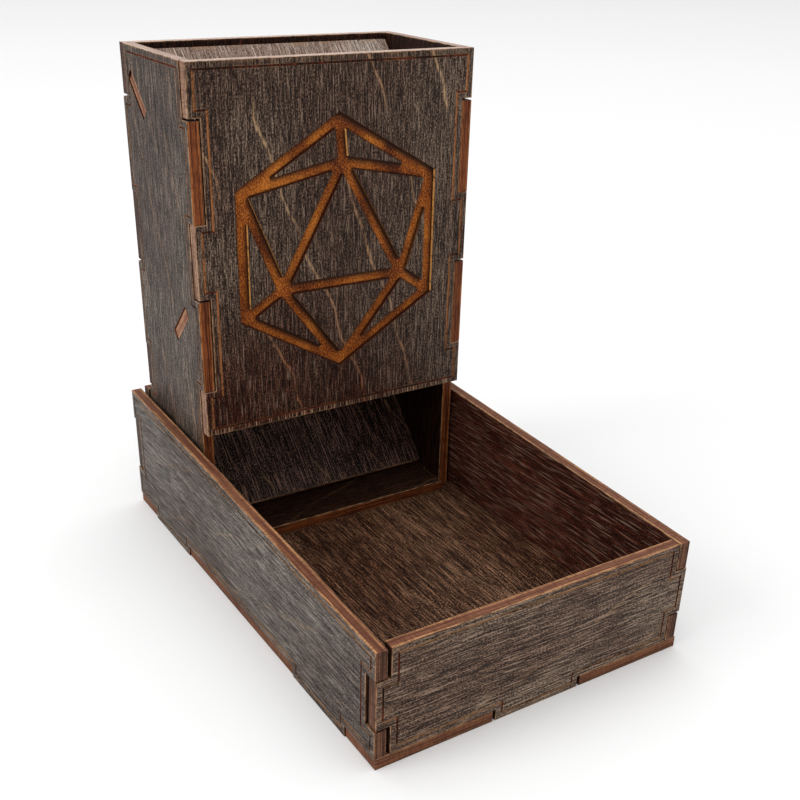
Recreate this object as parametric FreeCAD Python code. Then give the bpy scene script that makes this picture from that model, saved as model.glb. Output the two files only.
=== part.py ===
"""Dice tower with a tray, made of laser-cut 4 mm plywood that slots together.

The tower stands loose in the back of an open tray and lifts straight out of it.
Frame: millimetres, +Z up, front towards -Y, origin under the middle of the tray.
"""
import FreeCAD, Part
import math
import os

V = FreeCAD.Vector

# ---------------------------------------------------------------- driving sizes
SHEET = 3.7               # real thickness of nominal 4 mm plywood

TRAY_W = 108.0            # tray, over the side walls
TRAY_L = 170.0            # tray, front to back
TRAY_H_FRONT = 38.0       # tray side wall height over the table, at the front
TRAY_H_BACK = 45.0        # and at the back: the side walls rise gently towards the tower
TRAY_BACK_RISE = 0.8      # the back wall stands this much above the side walls
TRAY_SHIFT = 0.2          # end walls and base sit this far right of centre, side walls as far left

TOWER_W = 98.0            # tower, over the side walls
TOWER_D = 52.0            # tower, front to back
TOWER_TOP = 162.0         # tower rim over the table
TOWER_SETBACK = 113.5     # tray front to tower front
FRONT_PANEL_H = 113.4     # short front panel; the exit is below it

# fit of the joints
SIDE_PLAY = 0.25          # gap beside a finger
TOP_PLAY = 0.75           # gap above a tower side wall finger: the side walls sit a little low
BOTTOM_PLAY = 0.1         # gap below one
FACE_PLAY = 0.3           # gap behind a finger in the tower
TRAY_NOTCH_PLAY = 1.1     # tray notches are cut deeper than the sheet
TRAY_BODY_PLAY = 0.8      # gap between a tray end wall and the side walls
TRAY_FOOT_PLAY = 0.8      # the base's notch for an end wall's foot is this much wider at each end
INSET = 0.3               # tower panel fingers end this far inside the side faces
RECESS = 0.4              # tower side fingers end this far behind the panel faces

# finger patterns, as shares of the edge
TRAY_CORNER = (0.266, 0.468, 0.266)      # side wall, end wall, side wall, from the bottom up
TRAY_LONG_EDGE = (1, 2, 5, 2, 1)         # base, wall, base, wall, base
TRAY_SHORT_FINGER = 30.0                 # one finger of each end wall in the base
TOWER_CORNER = (2, 4, 3, 4, 2)           # panel, side, panel, side, panel, over the front panel
TOWER_FOOT = (4, 2)                      # side, panel: the same pattern going on down at the back

# burnt lines and the engraved twenty-sided die
LINE_INSET = 2.1
LINE_W = 0.6
LINE_DEPTH = 0.25
DIE_RADIUS = 38.9         # corners of the outer hexagon, on the middle of the stroke
DIE_HEIGHT = 105.0        # centre over the table
DIE_INNER_RADIUS = 25.2   # corners of the middle triangle
DIE_INNER_SHIFT = (1.2, 0.7)   # the middle triangle sits a little right of and above the centre
DIE_STROKE = 3.65
DIE_DEPTH = 1.0

# inclined boards inside the tower: all at 45 degrees, held by a tab in a slot of each side wall
SLOPE = 45.0
SLOT_L = 15.6
SLOT_W = 4.1
TAB_L = 14.2
TAB_LOW_GAP = 0.3         # a tab sits towards the lower end of its slot
BOARD_SIDE_GAP = 0.3
UPPER_SLOT = (39.0, 148.3)     # depth behind the tower front, height over the table
MIDDLE_SLOT = (15.7, 82.0)
RAMP_SLOT = (31.2, 21.9)
UPPER_BELOW = 13.0        # how far each board reaches below and above its slot's middle
MIDDLE_BELOW = 12.4
RAMP_BELOW = 18.5
WALL_TOUCH = 0.15         # gap between a board's upper edge and the panel it leans on

FLOOR_SETBACK = 1.7       # tower floor behind the tower front
FLOOR_TAB = 24.0          # floor tabs in the side walls and the back panel

# ---------------------------------------------------------------- derived places
Y_FRONT = -TRAY_L / 2
Y_BACK = TRAY_L / 2
TOWER_Y = Y_FRONT + TOWER_SETBACK
TOWER_BACK_Y = TOWER_Y + TOWER_D
TOWER_INNER_X = TOWER_W / 2 - SHEET
PANEL_BOTTOM = TOWER_TOP - FRONT_PANEL_H
FLOOR_TOP = 2 * SHEET     # the tower's floor lies on the tray's base

BIG = 400.0               # longer than anything in the model
OVERLAP = 1.0             # how far one shape reaches into the next before they are joined
SHARP = 2                 # kind of offset that keeps corners sharp


# ---------------------------------------------------------------- flat shapes
def polygon(points):
    """Face from its corners, always facing outward whichever way round they are given."""
    following = points[1:] + points[:1]
    area = sum(a[0] * b[1] - b[0] * a[1] for a, b in zip(points, following))
    ordered = points if area > 0 else points[::-1]
    corners = [V(u, w, 0) for u, w in ordered]
    return Part.Face(Part.makePolygon(corners + corners[:1]))


def rect(u0, u1, w0, w1):
    """Rectangle in the sheet's own plane."""
    return polygon([(u0, w0), (u1, w0), (u1, w1), (u0, w1)])


def single(shape):
    """The shape's one face."""
    faces = shape.removeSplitter().Faces
    if len(faces) != 1:
        raise ValueError("outline falls into %d faces" % len(faces))
    return faces[0]


def join(faces):
    return single(faces[0].multiFuse(faces[1:]))


def cut(face, holes):
    return single(face.cut(holes))


def spans(start, end, shares):
    """Split start..end by shares and give each span as (low, high)."""
    unit = (end - start) / sum(shares)
    edges = [start]
    for share in shares:
        edges.append(edges[-1] + share * unit)
    return list(zip(edges[:-1], edges[1:]))


# ---------------------------------------------------------------- solids
def placed(shape, origin, u_dir, w_dir):
    """Move a shape from its own plane (u, w, outward) to its place in the model."""
    n_dir = u_dir.cross(w_dir)
    matrix = FreeCAD.Matrix(u_dir.x, w_dir.x, n_dir.x, origin.x,
                            u_dir.y, w_dir.y, n_dir.y, origin.y,
                            u_dir.z, w_dir.z, n_dir.z, origin.z,
                            0, 0, 0, 1)
    moved = shape.copy()
    moved.transformShape(matrix)
    return moved


def inset(face, edges, distance):
    """The part of a face that lies further than distance from all the edges, with square corners."""
    strips = []
    for edge in edges:
        start, end = edge.Vertexes[0].Point, edge.Vertexes[-1].Point
        strip = rect(-distance, edge.Length + distance, -distance, distance)
        strip.rotate(V(0, 0, 0), V(0, 0, 1), math.degrees(math.atan2(end.y - start.y, end.x - start.x)))
        strips.append(strip.translated(start))
    return face.cut(strips)


def burnt_line(face):
    """Thin line that follows the outline at a constant inset."""
    edges = face.OuterWire.Edges
    return inset(face, edges, LINE_INSET - LINE_W / 2).cut(inset(face, edges, LINE_INSET + LINE_W / 2))


def sunk(drawing, depth):
    """What cutting the drawing this deep takes out of a sheet's outer face."""
    return drawing.extrude(V(0, 0, depth)).translated(V(0, 0, SHEET - depth))


def board(face, lined=True, pocket=None):
    """A sheet of plywood cut to the face, with its burnt line and any engraved pocket."""
    solid = face.extrude(V(0, 0, SHEET))
    if lined:
        solid = solid.cut(sunk(burnt_line(face), LINE_DEPTH))
    if pocket is not None:
        solid = solid.cut(sunk(pocket, DIE_DEPTH))
    return solid


def front_facing(solid, y_outer, x_middle=0.0):
    return placed(solid, V(x_middle, y_outer + SHEET, 0), V(1, 0, 0), V(0, 0, 1))


def back_facing(solid, y_outer, x_middle=0.0):
    return placed(solid, V(x_middle, y_outer - SHEET, 0), V(-1, 0, 0), V(0, 0, 1))


def right_facing(solid, x_outer):
    return placed(solid, V(x_outer - SHEET, 0, 0), V(0, 1, 0), V(0, 0, 1))


def mirrored(solid):
    """A left-hand wall from a right-hand one."""
    return solid.mirror(V(0, 0, 0), V(1, 0, 0))


# ---------------------------------------------------------------- tray
def tray_top(y):
    """Height of the side walls' sloping top edge."""
    return TRAY_H_FRONT + (TRAY_H_BACK - TRAY_H_FRONT) * (y - Y_FRONT) / TRAY_L


def tray_side():
    """Right side wall, in (y, z): its fingers close the corners and drop into the base."""
    body_front = Y_FRONT + SHEET + TRAY_NOTCH_PLAY
    body_back = Y_BACK - SHEET - TRAY_NOTCH_PLAY
    parts = [polygon([(body_front, SHEET), (body_back, SHEET),
                      (body_back, tray_top(body_back)), (body_front, tray_top(body_front))])]
    for y_end, y_body in ((Y_FRONT, body_front), (Y_BACK, body_back)):
        low, _, high = spans(SHEET, tray_top(y_end), TRAY_CORNER)
        parts.append(polygon([(y_end, low[0]), (y_body, low[0]),
                              (y_body, low[1] - SIDE_PLAY), (y_end, low[1] - SIDE_PLAY)]))
        parts.append(polygon([(y_end, high[0] + SIDE_PLAY), (y_body, high[0] + SIDE_PLAY),
                              (y_body, tray_top(y_body)), (y_end, tray_top(y_end))]))
    for y0, y1 in spans(Y_FRONT, Y_BACK, TRAY_LONG_EDGE)[1::2]:
        parts.append(rect(y0 + SIDE_PLAY, y1 - SIDE_PLAY, 0, SHEET + OVERLAP))
    return board(join(parts))


def tray_end(side_height, rise=0.0):
    """Front or back wall, in (x, z), this much higher than the side walls where they meet."""
    body_half = TRAY_W / 2 - SHEET - TRAY_BODY_PLAY
    low, high = spans(SHEET, side_height, TRAY_CORNER)[1]
    foot_half = TRAY_SHORT_FINGER / 2 - SIDE_PLAY
    face = join([rect(-body_half, body_half, SHEET, side_height + rise),
                 rect(-TRAY_W / 2, TRAY_W / 2, low + SIDE_PLAY, high - SIDE_PLAY),
                 rect(-foot_half, foot_half, 0, SHEET + OVERLAP)])
    return board(face)


def tray_base():
    """Base plate, in (x, y), notched for the fingers of all four walls."""
    half = TRAY_SHORT_FINGER / 2 + TRAY_FOOT_PLAY
    notches = [rect(-half, half, -BIG, Y_FRONT + SHEET + SIDE_PLAY),
               rect(-half, half, Y_BACK - SHEET - SIDE_PLAY, BIG)]
    notch_x = TRAY_W / 2 - SHEET - SIDE_PLAY
    for y0, y1 in spans(Y_FRONT, Y_BACK, TRAY_LONG_EDGE)[1::2]:
        for notch in (rect(-BIG, -notch_x, y0, y1), rect(notch_x, BIG, y0, y1)):
            notches.append(notch.translated(V(-2 * TRAY_SHIFT, 0, 0)))    # the side walls' own shift
    plate = cut(rect(-TRAY_W / 2, TRAY_W / 2, Y_FRONT, Y_BACK), notches)
    return board(plate, lined=False).translated(V(TRAY_SHIFT, 0, 0))


# ---------------------------------------------------------------- tower
def tower_spans():
    """Heights of the corner fingers next to the front panel, as (the panel's, the side walls')."""
    downward = spans(TOWER_TOP, PANEL_BOTTOM, TOWER_CORNER)
    upward = [(low, high) for high, low in downward]
    return upward[0::2], upward[1::2]


def tower_foot():
    """The two heights below the front panel, at the back: (the panel's, the side walls')."""
    (side_high, side_low), (panel_high, panel_low) = spans(PANEL_BOTTOM, SHEET, TOWER_FOOT)
    return (panel_low, panel_high), (side_low, side_high)


def panel_face(bottom, fingers):
    """Front or back panel, in (x, z)."""
    body_half = TOWER_INNER_X - FACE_PLAY
    finger_half = TOWER_W / 2 - INSET
    return join([rect(-body_half, body_half, bottom, TOWER_TOP)]
                + [rect(-finger_half, finger_half, low, high) for low, high in fingers])


def twenty_sided_die():
    """Line drawing of a twenty-sided die: strokes left between ten islands."""
    def ring(radius, count, shift=(0.0, 0.0)):
        turns = [math.pi / 2 - 2 * math.pi * i / count for i in range(count)]
        return [(shift[0] + radius * math.cos(a), shift[1] + radius * math.sin(a)) for a in turns]

    outer = ring(DIE_RADIUS, 6)
    inner = ring(DIE_INNER_RADIUS, 3, DIE_INNER_SHIFT)
    islands = [inner]
    for i in range(3):
        corner = outer[2 * i]
        here, following = inner[i], inner[(i + 1) % 3]
        islands.append([here, outer[2 * i + 1], following])
        islands.append([here, corner, outer[2 * i + 1]])
        islands.append([here, outer[2 * i - 1], corner])
    half = DIE_STROKE / 2
    drawing = polygon(outer).makeOffset2D(half, SHARP)
    for island in islands:
        drawing = drawing.cut(polygon(island).makeOffset2D(-half, SHARP))
    return drawing.translated(V(0, DIE_HEIGHT, 0))


def slot(centre, angle):
    """Slot for a board's tab, in (y, z)."""
    hole = rect(-SLOT_L / 2, SLOT_L / 2, -SLOT_W / 2, SLOT_W / 2)
    hole.rotate(V(0, 0, 0), V(0, 0, 1), angle)
    return hole.translated(V(TOWER_Y + centre[0], centre[1], 0))


def tower_side():
    """Right side wall of the tower, in (y, z)."""
    front_body = TOWER_Y + SHEET + FACE_PLAY
    back_body = TOWER_BACK_Y - SHEET - FACE_PLAY
    fingers = tower_spans()[1]
    parts = [rect(front_body, back_body, SHEET, TOWER_TOP)]
    for low, high in fingers:
        parts.append(rect(TOWER_Y + RECESS, front_body, low + BOTTOM_PLAY, high - TOP_PLAY))
    for low, high in fingers + [tower_foot()[1]]:
        parts.append(rect(back_body, TOWER_BACK_Y - RECESS, low + BOTTOM_PLAY, high - TOP_PLAY))
    middle = TOWER_Y + TOWER_D / 2
    tab_half = FLOOR_TAB / 2 + SIDE_PLAY
    holes = [slot(UPPER_SLOT, SLOPE), slot(MIDDLE_SLOT, -SLOPE), slot(RAMP_SLOT, SLOPE),
             rect(middle - tab_half, middle + tab_half, 0, FLOOR_TOP + SIDE_PLAY)]
    return board(cut(join(parts), holes))


def tower_front():
    return board(panel_face(PANEL_BOTTOM, tower_spans()[0]), pocket=twenty_sided_die())


def tower_back():
    face = panel_face(SHEET, tower_spans()[0] + [tower_foot()[0]])
    tab_half = FLOOR_TAB / 2 + SIDE_PLAY
    return board(cut(face, [rect(-tab_half, tab_half, 0, FLOOR_TOP + SIDE_PLAY)]))


def tower_floor():
    """Floor of the tower, in (x, y): it lies on the tray's base."""
    half = TOWER_INNER_X - BOARD_SIDE_GAP
    tab_end = TOWER_W / 2 - INSET
    tab_half = FLOOR_TAB / 2
    front = TOWER_Y + FLOOR_SETBACK
    back = TOWER_BACK_Y - SHEET - FACE_PLAY
    middle = TOWER_Y + TOWER_D / 2
    face = join([rect(-half, half, front, back),
                 rect(-tab_end, tab_end, middle - tab_half, middle + tab_half),
                 rect(-tab_half, tab_half, back - OVERLAP, TOWER_BACK_Y - RECESS)])
    return board(face, lined=False).translated(V(0, 0, SHEET))


def inclined(centre, below, falls_forward):
    """An inclined board. Its upper edge is cut upright, so that it lies along a panel.

    centre: (depth behind the tower front, height) of its slot's middle
    below: how far it reaches below that point, down the slope
    falls_forward: True if it leans on the back panel, False if on the front panel
    """
    half = TOWER_INNER_X - BOARD_SIDE_GAP
    tab_end = TOWER_W / 2 - INSET
    tab_low = TAB_LOW_GAP - SLOT_L / 2
    face = join([rect(-half, half, -below, BIG / 2),
                 rect(-tab_end, tab_end, tab_low, tab_low + TAB_L)])
    uphill = 1 if falls_forward else -1
    rise = math.radians(SLOPE)
    solid = placed(board(face, lined=False).translated(V(0, 0, -SHEET / 2)),
                   V(0, TOWER_Y + centre[0], centre[1]),
                   V(uphill, 0, 0), V(0, uphill * math.cos(rise), math.sin(rise)))
    if falls_forward:
        cut_from = TOWER_BACK_Y - SHEET - WALL_TOUCH
    else:
        cut_from = TOWER_Y + SHEET + WALL_TOUCH - BIG
    return solid.cut(Part.makeBox(2 * BIG, BIG, 2 * BIG, V(-BIG, cut_from, -BIG)))


def build():
    tray_right = right_facing(tray_side(), TRAY_W / 2 - TRAY_SHIFT)
    tower_right = right_facing(tower_side(), TOWER_W / 2)
    return {
        "tray_base": tray_base(),
        "tray_front_wall": front_facing(tray_end(TRAY_H_FRONT), Y_FRONT, TRAY_SHIFT),
        "tray_back_wall": back_facing(tray_end(TRAY_H_BACK, TRAY_BACK_RISE), Y_BACK, TRAY_SHIFT),
        "tray_right_wall": tray_right,
        "tray_left_wall": mirrored(tray_right).translated(V(-2 * TRAY_SHIFT, 0, 0)),
        "tower_front_panel": front_facing(tower_front(), TOWER_Y),
        "tower_back_panel": back_facing(tower_back(), TOWER_BACK_Y),
        "tower_right_wall": tower_right,
        "tower_left_wall": mirrored(tower_right),
        "tower_floor": tower_floor(),
        "upper_baffle": inclined(UPPER_SLOT, UPPER_BELOW, falls_forward=True),
        "middle_baffle": inclined(MIDDLE_SLOT, MIDDLE_BELOW, falls_forward=False),
        "exit_ramp": inclined(RAMP_SLOT, RAMP_BELOW, falls_forward=True),
    }


os.makedirs("parts", exist_ok=True)
for name, shape in build().items():
    solids = shape.Solids
    print("%-18s solids %d valid %s volume %.0f mm3" % (name, len(solids), shape.isValid(), shape.Volume))
    solids[0].exportStep("parts/%s.step" % name)
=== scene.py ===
"""Looks of the slot-together plywood dice tower: stained veneer, laser-cut edges, engraving, plain studio."""
import math

import bpy
import numpy as np
from mathutils import Euler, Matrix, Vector


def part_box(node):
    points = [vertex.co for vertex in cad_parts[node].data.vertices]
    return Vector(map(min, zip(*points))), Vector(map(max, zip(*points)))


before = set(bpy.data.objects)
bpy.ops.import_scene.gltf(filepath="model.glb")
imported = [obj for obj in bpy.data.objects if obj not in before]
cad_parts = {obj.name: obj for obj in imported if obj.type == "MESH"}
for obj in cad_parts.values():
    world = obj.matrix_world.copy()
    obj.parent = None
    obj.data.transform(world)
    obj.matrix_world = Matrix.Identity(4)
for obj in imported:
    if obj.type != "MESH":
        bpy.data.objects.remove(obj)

bpy.context.view_layer.update()

MM = 0.001

# ---------------------------------------------------------------- the boards
FRONT, BACK, LEFT, RIGHT = (0, -1, 0), (0, 1, 0), (-1, 0, 0), (1, 0, 0)
UP, LENGTHWISE, CROSSWISE = (0, 0, 1), (0, 1, 0), (1, 0, 0)
FALLS_FORWARD, DOWN_FORWARD = (0, -1, 1), (0, -1, -1)
FALLS_BACKWARD, DOWN_BACKWARD = (0, 1, 1), (0, 1, -1)

# node: (direction of its outer face, grain, veneer, cut edge that runs with the grain, cut edge at its ends)
BOARDS = {
    "tray_base": (UP, LENGTHWISE, "floor", "base_edge", "base_edge"),
    "tray_front_wall": (FRONT, CROSSWISE, "tray", "tray_edge_along", "tray_edge_end"),
    "tray_back_wall": (BACK, CROSSWISE, "tray", "tray_edge_along", "back_edge_end"),
    "tray_right_wall": (RIGHT, LENGTHWISE, "tray_side", "tray_edge_along", "tray_edge_end"),
    "tray_left_wall": (LEFT, LENGTHWISE, "tray_side", "tray_edge_along", "tray_edge_end"),
    "tower_front_panel": (FRONT, UP, "tower", "panel_edge_along", "panel_edge_end_sheen"),
    "tower_back_panel": (BACK, UP, "tower", "shaded_back_edge_along", "panel_edge_end_sheen"),
    "tower_right_wall": (RIGHT, UP, "tower_side", "side_edge_along", "side_edge_end_sheen"),
    "tower_left_wall": (LEFT, UP, "tower_side", "side_edge_along", "side_edge_end_sheen"),
    "tower_floor": (UP, CROSSWISE, "tower_floor", "side_edge_along", "side_edge_along"),
    "upper_baffle": (FALLS_FORWARD, DOWN_FORWARD, "baffle", "tab_edge", "tab_edge"),
    "middle_baffle": (FALLS_BACKWARD, DOWN_BACKWARD, "baffle", "tab_edge", "tab_edge"),
    "exit_ramp": (FALLS_FORWARD, DOWN_FORWARD, "ramp", "tab_edge", "tab_edge"),
}

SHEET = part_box("tray_base")[1].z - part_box("tray_base")[0].z      # thickness of every board
LINE_MAX_DEPTH = 0.6 * MM         # burnt lines are shallower than this, the engraving is deeper
LEVEL = 0.001 * MM                # heights closer than this are level
SAME_CORNER = 0.001 * MM          # corners closer than this are one corner
NEAR_INNER_FACE = -0.9            # places through the sheet below this are at its inner face
SLANTED = 0.5                     # a slanted cut face is at least this part as wide as it is long
ARRIS = 0.16 * MM                 # width of the worn strip with a painted highlight along every outer edge
ARRIS_SEGMENTS = 2
FLAT_ANGLE = math.radians(1)      # polygons that meet at less than this are one face
BOARD_SHIFT = 137.0               # mm of grain between one board's pattern and the next

# The kinds of face, in the order of a board's materials
VENEER, EDGE_LONG, EDGE_END, LINE_ALONG, LINE_ACROSS, POCKET, POCKET_WALL, WORN_AND_HIGHLIT = range(8)

# ---------------------------------------------------------------- patterns and looks
# Noise cells per mm along the grain, per mm across it, and per half thickness through the sheet.
GRAIN_DRIFT = (0.012, 0.030, 3.0)
FIGURE_SWAY, FIGURE_RIPPLE = (0.022, 0.040, 1.0), (0.16, 0.45, 1.0)
FIGURE_STRETCHES, FIGURE_DASHES = (0.030, 0.07, 2.0), (0.20, 1.7, 9.0)
FIBRES, THREADS, GRIT = (0.22, 2.1, 1.0), (0.050, 1.9, 2.0), (1.5, 2.2, 5.0)
STREAKS, PATCHES = (0.016, 0.60, 1.0), (0.016, 0.030, 1.0)
PALE_DASHES, PORES = (0.11, 2.1, 7.0), (0.10, 2.5, 4.0)
END_TICKS, HEAT_PATCHES = (0.08, 2.2, 3.0), (0.07, 0.14, 6.0)
PLY_WANDER, PLY_LAYERS = (0.10, 0.10, 0.0), (0.03, 0.03, 4.6)
KERF_ACROSS, KERF_ALONG = (1.7, 1.7, 0.8), (0.3, 0.3, 3.0)
EDGE_BURNS = (0.14, 0.14, 0.5)
BURN_SPECKS, BURN_DRIFT = (0.9, 0.9, 0.0), (0.06, 0.06, 0.0)
ENGRAVING_SPECKS, ENGRAVING_CLOUDS = (1.6, 2.2, 0.0), (0.06, 0.10, 0.0)
CHAR_SPECKS, RUBBED_SPOTS = (0.8, 0.8, 0.0), (0.30, 0.30, 0.0)

GRAIN_WANDER = 4.0                # mm that the grain drifts from straight
FACES_APART = 5.0                 # times as many cells through the sheet for veneer, so its faces differ
FIGURE_PER_MM = 0.046             # figure lines per mm across the grain
FIGURE_SLANT = -0.017             # and per mm along it, which slants them
FIGURE_WIDTH = (0.003, 0.034)     # of the gap between lines: the full line, and where it has faded out
ZIGZAGS_PER_MM, ZIGZAG_SWAY = 0.045, 1.6            # zigzags along the grain, and how far sway moves them
ZIGZAG_BEND, SWAY_BEND, RIPPLE_BEND = 0.11, 0.45, 0.07      # bend of the lines, in gaps between lines
LINE_BAND = (9.0, 11.0)           # mm from a board's margin where cuts stop being amber and turn scorched
LOW_TICKS, HIGH_TICKS = (1.0, 3.0), (0.8, 2.8)      # mm from a board's two ends where its ticks fade out
TONE_WEIGHTS = (0.06, 0.12, 0.46, 0.36, 0.50)       # of patches, streaks, grit, threads and fibres
STAIN_STOPS = (0.65, 0.753, 0.893)                  # tones that are dark, middle and light
ENGRAVING_STOPS = (0.39, 0.49, 0.60)                # amounts of burn that are bright, middle and dark
PLY_BORDER = (0.42, 0.58)                           # part of half the thickness where the core ends
GLUE_LINE = (0.40, 0.50), (0.52, 0.62)              # and where the dark glue line begins and ends
PLY_WAVINESS = 0.30                                 # part of half the thickness that the plies wander
LOWER_LEFT_PER_MM_UP, LOWER_LEFT_PER_MM_ACROSS = 0.014, 0.009   # how fast the darker, redder tint fades from the lower left corner
LOWER_LEFT_PATCHES, LOWER_LEFT_FADES = 1.2, (0.75, 1.75)        # how much patches bend its edge, and where it fades
DAMP_PATCHES, DAMP_STRENGTH = (0.44, 0.62), 0.5     # patches of redder stain

# Noise where a mark starts to show and where it shows in full
STRETCHES_SHOW, DASHES_SHOW, PORES_SHOW = (0.42, 0.53), (0.38, 0.54), (0.56, 0.64)
OUTER_DASHES_SHOW, INNER_DASHES_SHOW = (0.58, 0.68), (0.55, 0.64)
TICKS_SHOW, HEAT_SHOWS, FIBRES_SCORCH = (0.56, 0.64), (0.44, 0.66), (0.40, 0.60)
LAYERS_SHOW, MARKS_SHOW, BURNS_SHOW = (0.48, 0.57), (0.46, 0.62), (0.48, 0.66)
LIT_FRESH_SPECKS, RUBBING_SHOWS = (0.66, 0.50), (0.40, 0.62)
LINE_SOFTNESS = 0.10              # noise on either side of a line's balance where bright turns to dark

# Strengths of marks, from 0 to 1, or at the least and the most of the noise that drives them
PORE_STRENGTH, OUTER_DASH_STRENGTH, HIGH_TICK_STRENGTH = 0.55, 0.75, 0.25
HEAT_STRENGTH, FIBRE_HEAT_STRENGTH, LIT_FRESH_STRENGTH = (0.05, 0.70), (0.4, 1.0), (0.3, 1.0)
GLUE_STRENGTH, LAYER_STRENGTH, MARK_STRENGTH, GAP_SHADE_STRENGTH = 0.6, 0.90, 0.55, 0.9
SHADOW_AND_CHAR_BELOW_STRENGTH, SHADE_AND_CHAR_BESIDE_STRENGTH = 0.95, 0.9
LINE_WEIGHTS, ENGRAVING_WEIGHTS = (0.6, 0.5), (0.40, 0.60)   # specks and drift, clouds and specks

# How far heat and painted gap shade reach from a cut; which way the engraving's char and painted shadow look
# for a wall
HEAT_REACH, GAP_SHADE_REACH = 1.0 * MM, 2.0 * MM
# The engraving's floor is darkened near its walls: char, and painted shadow strongest below the upper right
# walls
SHADOW_AND_CHAR_BELOW_REACH, SHADE_AND_CHAR_BESIDE_REACH = 2.8 * MM, 0.9 * MM
SHADOW_TILT = (0.30, -0.60, 0.74)
# Openness that gets the full mark, and openness that gets none
HEAT_OPEN, GAP_SHADE_OPEN = (0.52, 0.92), (0.35, 0.90)
SHADOW_AND_CHAR_BELOW_OPEN, SHADE_AND_CHAR_BESIDE_OPEN = (0.55, 0.98), (0.60, 0.95)
# Parts of an engraved wall's normal: full painted light on fresh wood (facing left, to the light) to little
# of it, and full to none
TOWARD_LIGHT, UPWARD = (-1.00, -0.88), (0.05, 0.40)
LEAST_LIT_FRESH = 0.15
ENGRAVING_LIP = (0.55, 0.95)                        # place through the sheet where charred turns to brown

# Linear colours. A tint multiplies the colour under it.
WHITE = (1.0, 1.0, 1.0, 1.0)
STAIN_TINT, LOWER_LEFT_TINT = (0.62, 0.40, 0.34, 1.0), (0.68, 0.34, 0.26, 1.0)
WARM_TINT = (0.80, 0.55, 0.45, 1.0)
# painted shade: darker, redder tints for the inner faces, which lie in shade inside the tower and the tray
TOWER_INSIDE_SHADE, TRAY_INSIDE_SHADE = (0.34, 0.17, 0.13, 1.0), (0.40, 0.21, 0.16, 1.0)
TRAY_SIDE_INSIDE_SHADE = (0.66, 0.22, 0.15, 1.0)
AMBER, TICK = (0.36, 0.19, 0.09, 1.0), (0.52, 0.32, 0.20, 1.0)
# The first colour is scorch, and painted shadow in the engraving; the second is painted shade in gaps and
# notches.
SCORCH_AND_SHADOW, GAP_SHADE = (0.018, 0.006, 0.003, 1.0), (0.010, 0.004, 0.002, 1.0)

# Screen colours, from 0 to 255. Shades are the dark, middle and light of the stain.
FIGURE_TAN = (168, 136, 102)
VENEERS = {
    "tower": dict(shades=((18, 7, 4), (60, 45, 36), (136, 115, 98)), figure=0.95, inner_shade_tint=TOWER_INSIDE_SHADE,
                  ticks=0.7, lower_left_darkening=1.0),
    "tower_side": dict(shades=((9, 4, 2), (52, 41, 34), (132, 116, 103)), figure=0.4, inner_shade_tint=TOWER_INSIDE_SHADE,
                       ticks=0.3, length=1.5),
    "tray": dict(shades=((26, 15, 9), (80, 64, 53), (160, 138, 118)), figure=0.4, inner_shade_tint=TRAY_INSIDE_SHADE,
                 ticks=0.3, length=1.5),
    "tray_side": dict(shades=((20, 13, 9), (71, 63, 57), (144, 135, 126)), figure=0.25,
                      inner_shade_tint=TRAY_SIDE_INSIDE_SHADE, ticks=0.3, length=1.5, inner_dashes=0.95),
    "floor": dict(shades=((4, 0, 0), (46, 25, 14), (170, 128, 98)), figure=0.3, length=1.6),
    # painted light: the baffles are painted paler than the tower's wood for the overhead light and gloss on
    # their slopes
    "baffle": dict(shades=((96, 82, 72), (148, 132, 120), (204, 188, 174)), figure=0.2),
    # painted shade: the exit ramp and the tower floor are painted near black for the deep shade inside the
    # tower's exit
    "ramp": dict(shades=((1, 0, 0), (14, 5, 4), (152, 116, 100)), figure=0.4, length=1.5),
    "tower_floor": dict(shades=((12, 4, 2), (36, 20, 13), (88, 60, 44)), figure=0.2),
}
CUT_EDGES = {
    "base_edge": dict(outer=(134, 90, 60), core=(122, 76, 50), char=(74, 40, 24)),
    "tray_edge_along": dict(outer=(186, 136, 94), core=(126, 82, 60), char=(84, 46, 32)),
    "tray_edge_end": dict(outer=(104, 66, 44), core=(112, 74, 52), char=(48, 25, 16)),
    "side_edge_along": dict(outer=(160, 94, 48), core=(128, 68, 34), char=(60, 23, 8), kerf=KERF_ALONG),
    # painted sheen: the tower's end edges, such as its top rims, are painted pale for the light they catch
    # from above, over the end grain
    "side_edge_end_sheen": dict(outer=(214, 194, 180), core=(200, 178, 164), char=(140, 112, 98), soot=0.2),
    "panel_edge_along": dict(outer=(182, 148, 122), core=(158, 122, 98), char=(84, 52, 38)),
    "panel_edge_end_sheen": dict(outer=(226, 206, 192), core=(210, 188, 174), char=(150, 120, 104), soot=0.2),
    "tab_edge": dict(outer=(182, 134, 100), core=(152, 104, 74), char=(88, 50, 32)),
    # painted shade: the back panel's long edges are a darker copy of the front panel's, for the shade they
    # sit in
    "shaded_back_edge_along": dict(outer=(88, 60, 46), core=(72, 48, 36), char=(38, 20, 14)),
    "back_edge_end": dict(outer=(84, 64, 52), core=(74, 56, 46), char=(38, 24, 18)),
}
BURNT_LINES = {
    "burnt_line_amber": dict(bright=(172, 112, 66), dark=(88, 52, 30), balance=0.60),
    "burnt_line_tan": dict(bright=(148, 112, 80), dark=(62, 40, 27), balance=0.58),
    "burnt_line_across_grain": dict(bright=(108, 46, 22), dark=(26, 12, 6), balance=0.54),
}
ENGRAVED_FLOOR = ((204, 124, 46), (146, 75, 24), (60, 21, 6))       # bright, middle, dark
# painted highlight: the bright colour goes on the engraving's walls that face left, toward the light
ENGRAVED_WALL = ((236, 170, 92), (84, 36, 12), (34, 13, 5))         # bright, brown, dark
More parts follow.
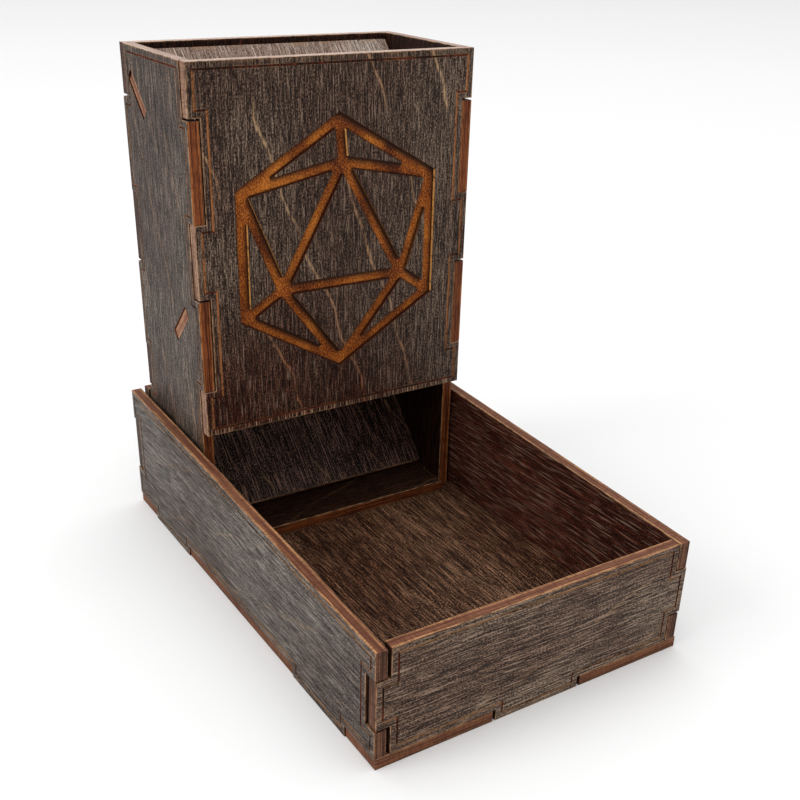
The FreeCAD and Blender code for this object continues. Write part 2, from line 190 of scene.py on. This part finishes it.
# painted highlight: the bevelled strip is painted pale, partly rubbed wood and partly the highlight such an
# edge catches
WORN_EDGE_AND_HIGHLIGHT = ((164, 126, 92), (76, 52, 38))                          # bright, dark
PALE_FLOOR = ((242, 242, 242), (246, 246, 246))

# Depth of the relief that the bump gives each surface, and how much each one shines
VENEER_RELIEF, EDGE_RELIEF, BURN_RELIEF = 0.06 * MM, 0.05 * MM, 0.04 * MM
ENGRAVING_RELIEF, WORN_RELIEF = 0.10 * MM, 0.02 * MM
VENEER_SPECULAR, CUT_SPECULAR, ENGRAVING_SPECULAR, WORN_SPECULAR = 0.12, 0.14, 0.12, 0.2
LINE_ROUGHNESS, ENGRAVING_ROUGHNESS, WORN_ROUGHNESS = 0.7, 0.68, 0.5
# Roughness at the first and at the second of two noise values
VENEER_ROUGHNESS, FIBRE_VALUES = (0.58, 0.46), (0.35, 0.65)
EDGE_ROUGHNESS, MARK_VALUES = (0.55, 0.68), (0.3, 0.7)
FIBRE_HEIGHT, PORE_DEPTH = 0.8, 0.6                 # parts of the veneer's relief


# ---------------------------------------------------------------- node graphs
def colour(screen_values):
    """Linear colour from red, green and blue screen values of 0 to 255."""
    def linear(value):
        c = value / 255
        return c / 12.92 if c <= 0.04045 else ((c + 0.055) / 1.055) ** 2.4
    return tuple(linear(value) for value in screen_values) + (1.0,)


class Graph:
    """One material's nodes. Apart from feed and finish, each method adds nodes and gives back a socket."""

    def __init__(self, name):
        self.material = bpy.data.materials.new(name)
        self.material.use_nodes = True
        self.tree = self.material.node_tree
        self.tree.nodes.clear()

    def feed(self, socket, value):
        """Link a socket to another node's output, or set it to a constant."""
        if isinstance(value, bpy.types.NodeSocket):
            self.tree.links.new(value, socket)
        else:
            socket.default_value = value

    def add(self, kind, inputs, output=0, **settings):
        node = self.tree.nodes.new(kind)
        for name, value in settings.items():
            setattr(node, name, value)
        for key, value in inputs.items():
            self.feed(node.inputs[key], value)
        return node.outputs[output] if node.outputs else None

    def math(self, operation, *values):
        return self.add("ShaderNodeMath", dict(enumerate(values)), operation=operation)

    def product(self, *values):
        total = values[0]
        for value in values[1:]:
            total = self.math("MULTIPLY", total, value)
        return total

    def weighted(self, *terms):
        """Sum of values, each given with its weight."""
        total = 0.0
        for value, weight in terms:
            total = self.math("MULTIPLY_ADD", value, weight, total)
        return total

    def stored(self, name):
        """A vector that dress() stored on the mesh."""
        return self.add("ShaderNodeAttribute", {}, "Vector", attribute_name=name)

    def sheet(self):
        """Place on the board: mm along the grain, mm across it, and -1 to 1 through the sheet."""
        return self.stored("sheet")

    def part(self, vector, axis):
        return self.add("ShaderNodeSeparateXYZ", {0: vector}, axis)

    def noise(self, vector, detail=2.0, roughness=0.5):
        settings = {"Vector": vector, "Scale": 1.0, "Detail": detail, "Roughness": roughness}
        return self.add("ShaderNodeTexNoise", settings, "Fac")

    def pattern(self, place, cells, detail=2.0, roughness=0.5, length=1.0):
        """Noise of so many cells per mm along and across the grain, made longer along it by length."""
        along, across, through = cells
        scaled = self.add("ShaderNodeVectorMath", {0: place, 1: (along / length, across, through)},
                          operation="MULTIPLY")
        return self.noise(scaled, detail, roughness)

    def spread(self, value, low, high, to_low=0.0, to_high=1.0):
        """Map low..high smoothly to to_low..to_high and hold it there outside."""
        return self.add("ShaderNodeMapRange", {0: value, 1: low, 2: high, 3: to_low, 4: to_high},
                        interpolation_type="SMOOTHSTEP")

    def openness(self, reach, samples=8, only_local=True, inside=False, normal=None):
        """1 where no surface is within reach, down to 0 where closed in. inside looks into the wood."""
        inputs = {"Distance": reach}
        if normal is not None:
            inputs["Normal"] = normal
        return self.add("ShaderNodeAmbientOcclusion", inputs, "AO", samples=samples, only_local=only_local,
                        inside=inside)

    def mix(self, factor, a, b, blend="MIX"):
        node = self.tree.nodes.new("ShaderNodeMix")
        node.data_type = "RGBA"
        node.blend_type = blend
        for socket, value in ((node.inputs[0], factor), (node.inputs[6], a), (node.inputs[7], b)):
            self.feed(socket, value)
        return node.outputs[2]

    def tinted(self, factor, base, tint):
        """Base multiplied by a tint, as far as factor says."""
        return self.mix(factor, base, self.mix(1.0, base, tint, blend="MULTIPLY"))

    def ramp(self, value, *stops):
        node = self.tree.nodes.new("ShaderNodeValToRGB")
        elements = node.color_ramp.elements
        while len(elements) < len(stops):
            elements.new(0.5)
        for element, (position, stop_colour) in zip(elements, stops):
            element.position = position
            element.color = stop_colour
        self.tree.links.new(value, node.inputs[0])
        return node.outputs[0]

    def finish(self, base_colour, roughness, height, relief, specular):
        bump = self.add("ShaderNodeBump", {"Strength": 1.0, "Distance": relief, "Height": height})
        shader = self.add("ShaderNodeBsdfPrincipled", {
            "Base Color": base_colour, "Roughness": roughness, "Specular IOR Level": specular,
            "Normal": bump})
        self.add("ShaderNodeOutputMaterial", {"Surface": shader})
        return self.material


# ---------------------------------------------------------------- materials
def grain_place(g):
    """Place for the veneer's noises: along and across the gently wandering grain, apart on the two faces."""
    sheet = g.sheet()
    drift = g.pattern(sheet, GRAIN_DRIFT, detail=1.0)
    across = g.math("MULTIPLY_ADD", drift, GRAIN_WANDER, g.part(sheet, 1))
    faces_apart = g.math("MULTIPLY", g.part(sheet, 2), FACES_APART)
    return g.add("ShaderNodeCombineXYZ", {0: g.part(sheet, 0), 1: across, 2: faces_apart})


def figure_lines(g, place):
    """Thin pale lines of figure that run at a slant to the grain, gently bent and broken into stretches."""
    along, across = g.part(place, 0), g.part(place, 1)
    sway = g.pattern(place, FIGURE_SWAY)
    ripple = g.pattern(place, FIGURE_RIPPLE)
    zigzag = g.math("PINGPONG", g.weighted((along, ZIGZAGS_PER_MM), (sway, ZIGZAG_SWAY)), 0.5)
    count = g.weighted((across, FIGURE_PER_MM), (zigzag, ZIGZAG_BEND), (along, FIGURE_SLANT),
                       (sway, SWAY_BEND), (ripple, RIPPLE_BEND))
    line = g.spread(g.math("PINGPONG", count, 0.5), *FIGURE_WIDTH, 1.0, 0.0)
    stretches = g.spread(g.pattern(place, FIGURE_STRETCHES), *STRETCHES_SHOW)
    dashes = g.spread(g.pattern(place, FIGURE_DASHES, roughness=0.6), *DASHES_SHOW)
    return g.product(line, dashes, stretches)


def stain(g, place, shades, figure, length):
    """Veneer's own colour before any mark on it. Gives back the colour, fibres, pores and stain patches."""
    dark, middle, light = shades
    fibres = g.pattern(place, FIBRES, detail=3.0, roughness=0.7, length=length)
    threads = g.pattern(place, THREADS, roughness=0.6, length=length)
    grit = g.pattern(place, GRIT, detail=1.0)
    streaks = g.pattern(place, STREAKS, detail=4.0, roughness=0.65, length=length)
    patches = g.pattern(place, PATCHES)
    pores = g.spread(g.pattern(place, PORES, roughness=0.6, length=length), *PORES_SHOW)

    tone = g.weighted(*zip((patches, streaks, grit, threads, fibres), TONE_WEIGHTS))
    base = g.ramp(tone, *zip(STAIN_STOPS, (dark, middle, light)))
    base = g.mix(g.math("MULTIPLY", pores, PORE_STRENGTH), base, dark)
    base = g.mix(g.math("MULTIPLY", figure_lines(g, place), figure), base, colour(FIGURE_TAN))
    return base, fibres, pores, patches


def heat_marks(g, place, fibres, base, near_margin):
    """Scorch along the burnt lines and the engraving, and amber wood along the board's own outline."""
    near_cut = g.spread(g.openness(HEAT_REACH, inside=True), *HEAT_OPEN, 1.0, 0.0)
    near_outline = g.spread(near_margin, *LINE_BAND, 1.0, 0.0)
    uneven = g.spread(g.pattern(place, HEAT_PATCHES, detail=3.0), *HEAT_SHOWS, *HEAT_STRENGTH)
    heat = g.product(near_cut, uneven, g.spread(fibres, *FIBRES_SCORCH, *FIBRE_HEAT_STRENGTH))
    return g.mix(heat, base, g.mix(near_outline, SCORCH_AND_SHADOW, AMBER))


def veneer(name, shades, figure, inner_shade_tint=WHITE, ticks=0.0, lower_left_darkening=0.0, length=1.0, inner_dashes=0.15):
    """Stained birch veneer: fine fibres, stain streaks, pores, figure, heat marks along the cuts, painted
    shade inside.

    figure, ticks, lower_left_darkening and inner_dashes are the strengths of the figure lines, of the pale
    ticks at the board's ends, of the redder, darker lower left corner and of the pale dashes on the inner
    face.
    length makes the grain longer.
    """
    g = Graph(name)
    shades = [colour(shade) for shade in shades]
    light = shades[2]
    place = grain_place(g)
    through = g.part(g.sheet(), 2)
    outside = g.spread(through, -1.0, 1.0)
    inside = g.spread(through, -1.0, 1.0, 1.0, 0.0)
    base, fibres, pores, patches = stain(g, place, shades, figure, length)

    from_low, from_high = g.stored("margin_low"), g.stored("margin_high")
    margin = g.add("ShaderNodeVectorMath", {0: from_low, 1: from_high}, operation="MINIMUM")
    near_margin = g.math("MINIMUM", g.part(margin, 0), g.part(margin, 1))

    # darker and redder towards the lower left corner, its edge bent by patches
    from_corner = g.weighted((g.part(from_high, 1), LOWER_LEFT_PER_MM_ACROSS),
                             (g.part(from_low, 0), LOWER_LEFT_PER_MM_UP), (patches, LOWER_LEFT_PATCHES))
    lower_left_dark = g.math("MULTIPLY", g.spread(from_corner, *LOWER_LEFT_FADES, 1.0, 0.0), lower_left_darkening)
    base = g.tinted(g.spread(patches, *DAMP_PATCHES, DAMP_STRENGTH, 0.0), base, STAIN_TINT)
    base = g.tinted(lower_left_dark, base, LOWER_LEFT_TINT)
    # painted shade: the inner face takes the darker inside tint
    base = g.tinted(inside, base, inner_shade_tint)

    dashes = g.pattern(place, PALE_DASHES, roughness=0.6, length=length)
    outer = g.math("MULTIPLY", g.spread(dashes, *OUTER_DASHES_SHOW, 0.0, OUTER_DASH_STRENGTH), outside)
    inner = g.math("MULTIPLY", g.spread(dashes, *INNER_DASHES_SHOW, 0.0, inner_dashes), inside)
    pale = g.mix(outside, g.mix(1.0, light, WARM_TINT, blend="MULTIPLY"), light)
    base = g.mix(g.math("ADD", outer, inner), base, pale)

    end_ticks = g.spread(g.pattern(place, END_TICKS, detail=1.0), *TICKS_SHOW)
    at_ends = g.math("ADD", g.spread(g.part(from_low, 0), *LOW_TICKS, 1.0, 0.0),
                     g.spread(g.part(from_high, 0), *HIGH_TICKS, HIGH_TICK_STRENGTH, 0.0))
    base = g.mix(g.product(end_ticks, at_ends, outside, ticks), base, TICK)
    base = heat_marks(g, place, fibres, base, near_margin)

    raised, sunk = g.math("MULTIPLY", fibres, FIBRE_HEIGHT), g.math("MULTIPLY", pores, PORE_DEPTH)
    height = g.math("SUBTRACT", raised, sunk)
    roughness = g.spread(fibres, *FIBRE_VALUES, *VENEER_ROUGHNESS)
    return g.finish(base, roughness, height, VENEER_RELIEF, VENEER_SPECULAR)


def cut_edge(name, outer, core, char, soot=0.35, kerf=KERF_ACROSS):
    """Laser-cut edge of three-ply sheet: two outer plies, the core, beam marks, burnt patches and painted gap
    shade.
    """
    g = Graph(name)
    char = colour(char)
    sheet = g.sheet()
    wander = g.math("SUBTRACT", g.pattern(sheet, PLY_WANDER), 0.5)
    depth = g.math("ABSOLUTE", g.math("MULTIPLY_ADD", wander, PLY_WAVINESS, g.part(sheet, 2)))
    plies = g.mix(g.spread(depth, *PLY_BORDER, 1.0, 0.0), colour(outer), colour(core))
    glue_begins, glue_ends = GLUE_LINE
    glue_line = g.product(g.spread(depth, *glue_begins), g.spread(depth, *glue_ends, 1.0, 0.0), GLUE_STRENGTH)
    plies = g.mix(glue_line, plies, char)

    layers = g.pattern(sheet, PLY_LAYERS, roughness=0.7)
    marks = g.pattern(sheet, kerf, detail=3.0, roughness=0.7)
    burns = g.pattern(sheet, EDGE_BURNS, detail=3.0)
    plies = g.mix(g.spread(layers, *LAYERS_SHOW, 0.0, LAYER_STRENGTH), plies, char)
    plies = g.mix(g.spread(marks, *MARKS_SHOW, 0.0, MARK_STRENGTH), plies, char)
    plies = g.mix(g.spread(burns, *BURNS_SHOW, 0.0, soot), plies, char)
    # painted shade: near black wherever nearby surfaces, also of neighbouring boards, close the edge in, as
    # in the joints' gaps
    painted_gap_shade = g.spread(g.openness(GAP_SHADE_REACH, only_local=False), *GAP_SHADE_OPEN, GAP_SHADE_STRENGTH, 0.0)
    plies = g.mix(painted_gap_shade, plies, GAP_SHADE)
    roughness = g.spread(marks, *MARK_VALUES, *EDGE_ROUGHNESS)
    return g.finish(plies, roughness, marks, EDGE_RELIEF, CUT_SPECULAR)


def burnt(name, bright, dark, balance):
    """Floor and walls of a burnt line. The lower balance is, the more of it is dark."""
    g = Graph(name)
    specks = g.pattern(g.sheet(), BURN_SPECKS, detail=3.0, roughness=0.65)
    drift = g.pattern(g.sheet(), BURN_DRIFT)
    amount = g.weighted(*zip((specks, drift), LINE_WEIGHTS))
    burn = g.spread(amount, balance - LINE_SOFTNESS, balance + LINE_SOFTNESS)
    base = g.mix(burn, colour(bright), colour(dark))
    return g.finish(base, LINE_ROUGHNESS, specks, BURN_RELIEF, CUT_SPECULAR)


def engraved(name, bright, middle, dark):
    """Floor of the laser engraving: amber wood, speckled with burn, dark beside and below its walls with char
    and painted shade.
    """
    g = Graph(name)
    sheet = g.sheet()
    specks = g.pattern(sheet, ENGRAVING_SPECKS, roughness=0.8)
    clouds = g.pattern(sheet, ENGRAVING_CLOUDS, detail=3.0)
    amount = g.weighted(*zip((clouds, specks), ENGRAVING_WEIGHTS))
    base = g.ramp(amount, *zip(ENGRAVING_STOPS, (colour(bright), colour(middle), colour(dark))))
    # painted shadow and char: the floor darkens most where walls above and to the right close it in, and
    # along every wall
    shadow_tilt = g.add("ShaderNodeCombineXYZ", dict(enumerate(SHADOW_TILT)))
    open_toward_shadow = g.openness(SHADOW_AND_CHAR_BELOW_REACH, samples=12, normal=shadow_tilt)
    shadow_and_char_below_wall = g.spread(open_toward_shadow, *SHADOW_AND_CHAR_BELOW_OPEN, SHADOW_AND_CHAR_BELOW_STRENGTH, 0.0)
    open_around = g.openness(SHADE_AND_CHAR_BESIDE_REACH)
    shade_and_char_beside_wall = g.spread(open_around, *SHADE_AND_CHAR_BESIDE_OPEN, SHADE_AND_CHAR_BESIDE_STRENGTH, 0.0)
    base = g.mix(g.math("MAXIMUM", shadow_and_char_below_wall, shade_and_char_beside_wall), base, SCORCH_AND_SHADOW)
    return g.finish(base, ENGRAVING_ROUGHNESS, specks, ENGRAVING_RELIEF, ENGRAVING_SPECULAR)


def engraved_wall(name, bright, brown, dark):
    """Walls of the engraving: charred, browner at the lip, and fresh amber wood with painted light where they
    face left.
    """
    g = Graph(name)
    normal = g.add("ShaderNodeNewGeometry", {}, "True Normal")
    faces_light = g.spread(g.part(normal, 0), *TOWARD_LIGHT, 1.0, LEAST_LIT_FRESH)
    not_up = g.spread(g.part(normal, 2), *UPWARD, 1.0, 0.0)
    specks = g.pattern(g.sheet(), CHAR_SPECKS, detail=3.0, roughness=0.65)
    lit_fresh = g.product(faces_light, not_up, g.spread(specks, *LIT_FRESH_SPECKS, *LIT_FRESH_STRENGTH))
    charred = g.mix(g.spread(g.part(g.sheet(), 2), *ENGRAVING_LIP), colour(dark), colour(brown))
    base = g.mix(lit_fresh, charred, colour(bright))
    return g.finish(base, LINE_ROUGHNESS, specks, BURN_RELIEF, ENGRAVING_SPECULAR)


def worn_and_highlit(name, bright, dark):
    """Narrow strip along an outer edge: rubbed wood, and a painted highlight."""
    g = Graph(name)
    rub = g.pattern(g.sheet(), RUBBED_SPOTS, detail=3.0, roughness=0.6)
    base = g.mix(g.spread(rub, *RUBBING_SHOWS), colour(bright), colour(dark))
    return g.finish(base, WORN_ROUGHNESS, rub, WORN_RELIEF, WORN_SPECULAR)


def make_materials():
    materials = {name: veneer(name + "_veneer", **look) for name, look in VENEERS.items()}
    materials.update({name: cut_edge(name, **look) for name, look in CUT_EDGES.items()})
    materials.update({name: burnt(name, **look) for name, look in BURNT_LINES.items()})
    materials["engraved_floor"] = engraved("engraved_floor", *ENGRAVED_FLOOR)
    materials["engraved_wall"] = engraved_wall("engraved_wall", *ENGRAVED_WALL)
    materials["worn_edge_and_highlight"] = worn_and_highlit("worn_edge_and_highlight", *WORN_EDGE_AND_HIGHLIGHT)
    return materials


# ---------------------------------------------------------------- dressing one board
def sheet_places(mesh, outward, grain):
    """For each vertex: mm along the grain, mm across it, and -1 (inner face) to 1 (outer face)."""
    points = np.array([v.co for v in mesh.vertices])
    out = np.array(Vector(outward).normalized())
    along = np.array(Vector(grain).normalized())
    across = np.cross(out, along)
    height = points @ out
    middle = (height.max() + height.min()) / 2
    return np.column_stack([points @ along / MM, points @ across / MM, (height - middle) / (SHEET / 2)])


def face_kind(places):
    """Which material a polygon takes, from its corners' places on the sheet."""
    depth = places[:, 2]
    reach = (depth.max() - depth.min()) * SHEET / 2
    below = (1 - depth.max()) * SHEET / 2
    size = places[:, :2].max(axis=0) - places[:, :2].min(axis=0)
    runs_along = size[0] > size[1]
    if reach > LINE_MAX_DEPTH:
        if depth.min() > NEAR_INNER_FACE:
            return POCKET_WALL
        # slot walls take the dark across-grain line look: laser char, and painted shade deep in the slots
        if size.min() > SLANTED * size.max():       # only the slots lie at an angle on their boards
            return LINE_ACROSS
        return EDGE_LONG if runs_along else EDGE_END
    if reach < LEVEL and (below < LEVEL or depth.max() < NEAR_INNER_FACE):
        return VENEER
    if below > LINE_MAX_DEPTH:
        return POCKET
    return LINE_ALONG if runs_along else LINE_ACROSS


def mark_outer_edges(mesh, kinds):
    """Give a bevel weight to the edges of the sheet itself, and none to the lines and the engraving."""
    def ends(vertices):
        return frozenset(tuple(round(c / SAME_CORNER) for c in mesh.vertices[i].co) for i in vertices)

    around = {}
    for polygon, kind in zip(mesh.polygons, kinds):
        for edge_key in polygon.edge_keys:
            around.setdefault(ends(edge_key), set()).add(kind)
    outer_edges = ({VENEER, EDGE_LONG}, {VENEER, EDGE_END})
    weights = [float(around.get(ends(edge.vertices), set()) in outer_edges) for edge in mesh.edges]
    attribute = mesh.attributes.new("bevel_weight_edge", "FLOAT", "EDGE")
    attribute.data.foreach_set("value", weights)


def store(mesh, name, values):
    attribute = mesh.attributes.new(name, "FLOAT_VECTOR", "POINT")
    attribute.data.foreach_set("vector", values.astype(np.float32).ravel())


def dress(name, index, materials):
    outward, grain, veneer_name, long_edge, end_edge = BOARDS[name]
    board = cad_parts[name]
    mesh = board.data
    places = sheet_places(mesh, outward, grain)
    store(mesh, "margin_low", places - places.min(axis=0))
    store(mesh, "margin_high", places.max(axis=0) - places)
    store(mesh, "sheet", places + np.array((index * BOARD_SHIFT, index * BOARD_SHIFT, 0)))

    mesh.materials.clear()
    line_along = "burnt_line_amber" if veneer_name == "tower" else "burnt_line_tan"
    for key in (veneer_name, long_edge, end_edge, line_along, "burnt_line_across_grain", "engraved_floor",
                "engraved_wall", "worn_edge_and_highlight"):
        mesh.materials.append(materials[key])
    kinds = [face_kind(places[list(p.vertices)]) for p in mesh.polygons]
    mesh.polygons.foreach_set("material_index", kinds)
    mesh.polygons.foreach_set("use_smooth", [False] * len(kinds))
    mesh.attributes.remove(mesh.attributes["custom_normal"])
    mark_outer_edges(mesh, kinds)

    weld = board.modifiers.new("weld", "WELD")
    weld.merge_threshold = SAME_CORNER
    flat = board.modifiers.new("flat", "DECIMATE")
    flat.decimate_type = "DISSOLVE"
    flat.angle_limit = FLAT_ANGLE
    flat.delimit = {"MATERIAL"}
    bevel = board.modifiers.new("arris", "BEVEL")
    bevel.limit_method = "WEIGHT"
    bevel.width = ARRIS
    bevel.segments = ARRIS_SEGMENTS
    bevel.material = WORN_AND_HIGHLIT


# ---------------------------------------------------------------- studio
CAMERA_AT = (-0.1681, -0.2700, 0.2013)
CAMERA_AZIMUTH, CAMERA_ELEVATION, CAMERA_ROLL = 32.91, -27.90, 1.53
LENS_MM = 49.03
SHIFT_UP = 0.102
CLIP_NEAR, CLIP_FAR = 0.01, 50
FLOOR_HALF = 4.0
FLOOR_ROUGHNESS, FLOOR_SPECULAR = 0.9, 0.2
SKY_STRENGTH = 0.85

# name: (place, aim, length of its side, watts)
SOFTBOXES = {
    "top_softbox": ((0.10, 0.10, 3.00), (0, 0.02, 0.06), 2.4, 26.0),
    "left_softbox": ((-1.10, 0.10, 0.70), (0, 0, 0.08), 0.7, 5.0),
}


def make_camera():
    data = bpy.data.cameras.new("camera")
    data.lens = LENS_MM
    data.shift_y = SHIFT_UP
    data.clip_start = CLIP_NEAR
    data.clip_end = CLIP_FAR
    camera = bpy.data.objects.new("camera", data)
    bpy.context.scene.collection.objects.link(camera)
    camera.location = CAMERA_AT
    turn = Euler((math.radians(90 + CAMERA_ELEVATION), 0, math.radians(-CAMERA_AZIMUTH))).to_matrix()
    roll = Euler((0, 0, math.radians(CAMERA_ROLL))).to_matrix()
    camera.rotation_euler = (turn @ roll).to_euler()
    bpy.context.scene.camera = camera


def make_softbox(name, place, aim, side, watts):
    data = bpy.data.lights.new(name, "AREA")
    data.shape = "SQUARE"
    data.size = side
    data.energy = watts
    light = bpy.data.objects.new(name, data)
    bpy.context.scene.collection.objects.link(light)
    light.location = place
    light.rotation_euler = (Vector(aim) - Vector(place)).to_track_quat("-Z", "Y").to_euler()


def make_floor():
    corners = [(x * FLOOR_HALF, y * FLOOR_HALF, 0) for x, y in ((-1, -1), (1, -1), (1, 1), (-1, 1))]
    mesh = bpy.data.meshes.new("floor")
    mesh.from_pydata(corners, [], [(0, 1, 2, 3)])
    g = Graph("pale_floor")
    mottle = g.noise(g.add("ShaderNodeTexCoord", {}, "Object"))
    base = g.mix(mottle, *(colour(shade) for shade in PALE_FLOOR))
    mesh.materials.append(g.finish(base, FLOOR_ROUGHNESS, mottle, 0.0, FLOOR_SPECULAR))
    floor = bpy.data.objects.new("floor", mesh)
    bpy.context.scene.collection.objects.link(floor)


def make_world():
    world = bpy.data.worlds.new("studio")
    world.use_nodes = True
    background = world.node_tree.nodes["Background"]
    background.inputs["Color"].default_value = WHITE
    background.inputs["Strength"].default_value = SKY_STRENGTH
    bpy.context.scene.world = world


def main():
    materials = make_materials()
    for index, name in enumerate(BOARDS):
        dress(name, index, materials)
    make_floor()
    make_world()
    for name, light in SOFTBOXES.items():
        make_softbox(name, *light)
    make_camera()
    bpy.context.scene.view_settings.view_transform = "Standard"


main()
bpy.context.view_layer.update()
